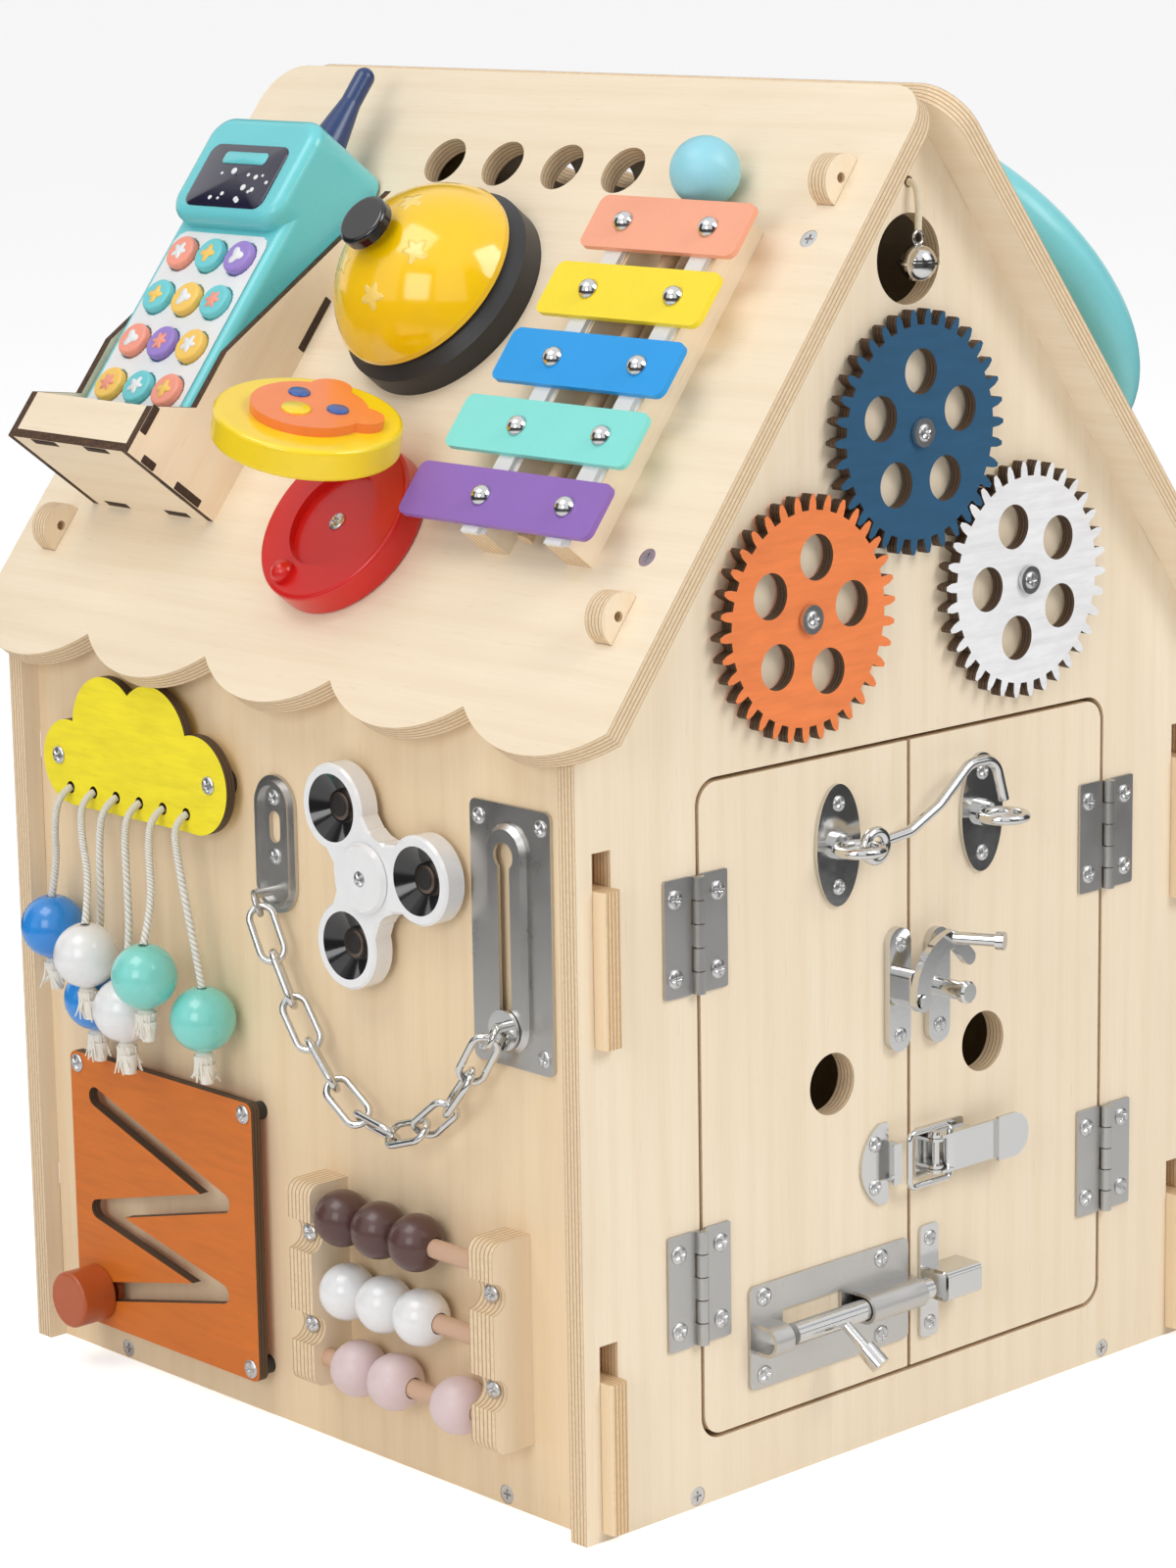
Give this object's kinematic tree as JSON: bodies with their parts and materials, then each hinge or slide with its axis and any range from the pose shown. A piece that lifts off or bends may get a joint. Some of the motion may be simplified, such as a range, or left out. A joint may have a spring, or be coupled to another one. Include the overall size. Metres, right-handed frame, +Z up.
{
  "type": "wooden activity house",
  "caption": "House-shaped plywood busy board: a pitched roof, a pair of latched doors and a play panel on every face.",
  "frame": {"origin": "centre of the base, on the surface the house stands on", "axes": "+Z up, -Y out of the gable with the doors, +X to the viewer's right at that gable"},
  "size_m": [0.3164, 0.3153, 0.4242],
  "materials": {
    "birch_ply": "satin, clear",
    "steel_screws": "bright zinc",
    "hinge_steel": "brushed",
    "yellow_paint": "matte painted",
    "maze_paint": "matte painted",
    "bar_enamel": "satin enamel, one colour for each bar",
    "bell_black": "glossy",
    "bell_yellow": "gloss enamel",
    "castanet_red": "gloss painted",
    "laser_cut_ply": "satin with dark cut edges",
    "chrome_fittings": "polished",
    "blue_paint": "matte painted",
    "orange_paint": "matte painted",
    "white_paint": "matte painted",
    "cord_cream": "cotton",
    "cord_white": "twisted cotton",
    "bead_blue": "gloss painted",
    "bead_teal": "gloss painted",
    "spinner_white": "glossy",
    "knob_wood": "satin painted",
    "bead_brown": "matte painted",
    "bead_white": "gloss painted",
    "bead_pink": "matte painted",
    "mallet_wood": "painted ball on a bare stick",
    "castanet_yellow": "gloss painted",
    "phone_teal": "satin",
    "key_colours": "satin, mixed colours",
    "wheel_teal": "satin"
  },
  "bodies": {
    "house": {"front_gable": "birch_ply", "rear_gable": "birch_ply", "left_wall": "birch_ply", "right_wall": "birch_ply", "floor_panel": "birch_ply", "left_roof": "birch_ply", "right_roof": "birch_ply", "case_screws": "steel_screws", "frame_hinge_leaves": "hinge_steel", "pivot_posts": "steel_screws", "cloud_board": "yellow_paint", "chain_plates": "hinge_steel", "maze_board": "maze_paint", "abacus_frame": "birch_ply", "xylophone_rails": "birch_ply", "xylophone_bars": "bar_enamel", "call_bell_base": "bell_black", "call_bell_dome": "bell_yellow", "castanet_base": "castanet_red", "phone_holder": "laser_cut_ply"},
    "left_door": {"left_door": "birch_ply", "left_door_hinge_leaves": "hinge_steel", "left_door_catches": "chrome_fittings", "swing_latch_base": "chrome_fittings", "bolt_bracket": "hinge_steel"},
    "right_door": {"right_door": "birch_ply", "right_door_hinge_leaves": "hinge_steel", "right_hook_eye": "chrome_fittings", "right_door_strikes": "chrome_fittings", "toggle_base": "chrome_fittings"},
    "cabin_hook": {"cabin_hook": "chrome_fittings"},
    "swing_latch_arm": {"swing_latch_arm": "chrome_fittings"},
    "toggle_lever": {"toggle_lever": "chrome_fittings"},
    "toggle_loop": {"toggle_loop": "chrome_fittings"},
    "bolt_rod": {"bolt_rod": "chrome_fittings"},
    "blue_gear": {"blue_gear": "blue_paint"},
    "orange_gear": {"orange_gear": "orange_paint"},
    "white_gear": {"white_gear": "white_paint"},
    "hanging_bell": {"bell_cord": "cord_cream", "jingle_bell": "chrome_fittings"},
    "rope_1": {"rope_1": "cord_white", "rope_1_beads": "bead_blue"},
    "rope_2": {"rope_2": "cord_white", "rope_2_beads": "bead_blue"},
    "rope_3": {"rope_3": "cord_white", "rope_3_beads": "bead_teal"},
    "door_chain": {"door_chain": "chrome_fittings"},
    "chain_slider": {"chain_slider": "chrome_fittings"},
    "spinner": {"spinner": "spinner_white"},
    "maze_knob": {"maze_knob": "knob_wood"},
    "abacus_top_beads": {"abacus_top_beads": "bead_brown"},
    "abacus_middle_beads": {"abacus_middle_beads": "bead_white"},
    "abacus_low_pair": {"abacus_low_pair": "bead_pink"},
    "abacus_low_bead": {"abacus_low_bead": "bead_pink"},
    "mallet": {"mallet": "mallet_wood"},
    "call_bell_button": {"call_bell_button": "bell_black"},
    "castanet_lid": {"castanet_lid": "castanet_yellow"},
    "toy_phone": {"toy_phone": "phone_teal"},
    "phone_keys": {"phone_keys": "key_colours"},
    "steering_wheel": {"steering_wheel": "wheel_teal"}
  },
  "joints": [
    {"name": "left_door_hinge", "type": "hinge", "parent": "house", "child": "left_door", "pos_m": [-0.0929, -0.13946, 0], "axis": [0, 0, -1], "range_deg": [0, 95]},
    {"name": "right_door_hinge", "type": "hinge", "parent": "house", "child": "right_door", "pos_m": [0.0929, -0.13946, 0], "axis": [0, 0, 1], "range_deg": [0, 95]},
    {"name": "cabin_hook_swing", "type": "hinge", "parent": "left_door", "child": "cabin_hook", "pos_m": [-0.0255, -0.1475, 0.196], "axis": [0, -1, 0], "range_deg": [-13, 75]},
    {"name": "swing_latch_turn", "type": "hinge", "parent": "left_door", "child": "swing_latch_arm", "pos_m": [-0.0042, -0.1465, 0.143], "axis": [0, -1, 0], "range_deg": [-22, 80]},
    {"name": "toggle_lever_lift", "type": "hinge", "parent": "right_door", "child": "toggle_lever", "pos_m": [0.0075, -0.1421, 0.091], "axis": [0, 0, -1], "range_deg": [0, 140]},
    {"name": "toggle_loop_swing", "type": "hinge", "parent": "toggle_lever", "child": "toggle_loop", "pos_m": [0.013, -0.1431, 0.091], "axis": [0, 0, -1], "range_deg": [-150, 0]},
    {"name": "bolt_slide", "type": "slide", "parent": "left_door", "child": "bolt_rod", "axis": [-1, 0, 0], "range_m": [-0.008, 0.018]},
    {"name": "blue_gear_spin", "type": "hinge", "parent": "house", "child": "blue_gear", "pos_m": [0, -0.1375, 0.319], "axis": [0, -1, 0], "continuous": true},
    {"name": "orange_gear_spin", "type": "hinge", "parent": "house", "child": "orange_gear", "pos_m": [-0.0488, -0.1375, 0.26812], "axis": [0, -1, 0], "continuous": true},
    {"name": "white_gear_spin", "type": "hinge", "parent": "house", "child": "white_gear", "pos_m": [0.0488, -0.1375, 0.26812], "axis": [0, -1, 0], "continuous": true},
    {"name": "hanging_bell_swing", "type": "hinge", "parent": "house", "child": "hanging_bell", "pos_m": [0, -0.1395, 0.394], "axis": [0, -1, 0], "range_deg": [-12, 12]},
    {"name": "rope_2_swing", "type": "hinge", "parent": "house", "child": "rope_2", "pos_m": [-0.1411, 0, 0.196], "axis": [0, 1, 0], "range_deg": [0, 45]},
    {"name": "rope_1_swing", "type": "hinge", "parent": "house", "child": "rope_1", "pos_m": [-0.1411, 0, 0.196], "axis": [0, 1, 0], "range_deg": [0, 45]},
    {"name": "rope_3_swing", "type": "hinge", "parent": "house", "child": "rope_3", "pos_m": [-0.1411, 0, 0.196], "axis": [0, 1, 0], "range_deg": [0, 45]},
    {"name": "chain_slider_slide", "type": "slide", "parent": "house", "child": "chain_slider", "axis": [0, 0, 1], "range_m": [0, 0.028]},
    {"name": "door_chain_swing", "type": "hinge", "parent": "house", "child": "door_chain", "pos_m": [-0.1429, 0.005, 0.171], "axis": [-1, 0, 0], "range_deg": [0, 16]},
    {"name": "spinner_spin", "type": "hinge", "parent": "house", "child": "spinner", "pos_m": [-0.1336, -0.047, 0.19], "axis": [-1, 0, 0], "continuous": true},
    {"name": "maze_knob_slide", "type": "slide", "parent": "house", "child": "maze_knob", "axis": [0, -0.9758, 0.2185], "range_m": [0, 0.066]},
    {"name": "abacus_top_slide", "type": "slide", "parent": "house", "child": "abacus_top_beads", "axis": [0, -1, 0], "range_m": [0, 0.02]},
    {"name": "abacus_middle_slide", "type": "slide", "parent": "house", "child": "abacus_middle_beads", "axis": [0, -1, 0], "range_m": [-0.001, 0.018]},
    {"name": "abacus_low_pair_slide", "type": "slide", "parent": "house", "child": "abacus_low_pair", "axis": [0, -1, 0], "range_m": [-0.005, 0.011]},
    {"name": "abacus_low_bead_slide", "type": "slide", "parent": "house", "child": "abacus_low_bead", "axis": [0, -1, 0], "range_m": [-0.011, 0.002]},
    {"name": "mallet_slide", "type": "slide", "parent": "house", "child": "mallet", "axis": [0.6136, 0, 0.7896], "range_m": [0, 0.11]},
    {"name": "call_bell_press", "type": "slide", "parent": "house", "child": "call_bell_button", "axis": [0.7896, 0, -0.6136], "range_m": [0, 0.0034], "stiffness_N_per_m": 200, "springref_m": -0.001},
    {"name": "castanet_lid_hinge", "type": "hinge", "parent": "house", "child": "castanet_lid", "pos_m": [-0.10508, -0.01749, 0.31531], "axis": [0.2299, 0.9272, 0.2958], "range_deg": [-48, 0], "stiffness_Nm_per_rad": 0.03, "springref_deg": 20.05},
    {"name": "phone_slide", "type": "slide", "parent": "house", "child": "toy_phone", "axis": [0.6136, 0, 0.7896], "range_m": [0, 0.11]},
    {"name": "phone_keys_press", "type": "slide", "parent": "toy_phone", "child": "phone_keys", "axis": [0.7896, 0, -0.6136], "range_m": [0, 0.001], "stiffness_N_per_m": 300, "springref_m": -0.001},
    {"name": "steering_wheel_spin", "type": "hinge", "parent": "house", "child": "steering_wheel", "pos_m": [0.09618, -0.062, 0.35023], "axis": [0.7896, 0, 0.6136], "continuous": true}
  ],
  "couplings": [
    {"joint": "right_door_hinge", "follows": "left_door_hinge", "ratio": 1},
    {"joint": "orange_gear_spin", "follows": "blue_gear_spin", "ratio": -1},
    {"joint": "white_gear_spin", "follows": "blue_gear_spin", "ratio": -1},
    {"joint": "toggle_loop_swing", "follows": "toggle_lever_lift", "ratio": -1},
    {"joint": "door_chain_swing", "follows": "chain_slider_slide", "rad_per_m": 9.28},
    {"joint": "rope_1_swing", "follows": "rope_2_swing", "ratio": 1},
    {"joint": "rope_3_swing", "follows": "rope_2_swing", "ratio": 1}
  ]
}
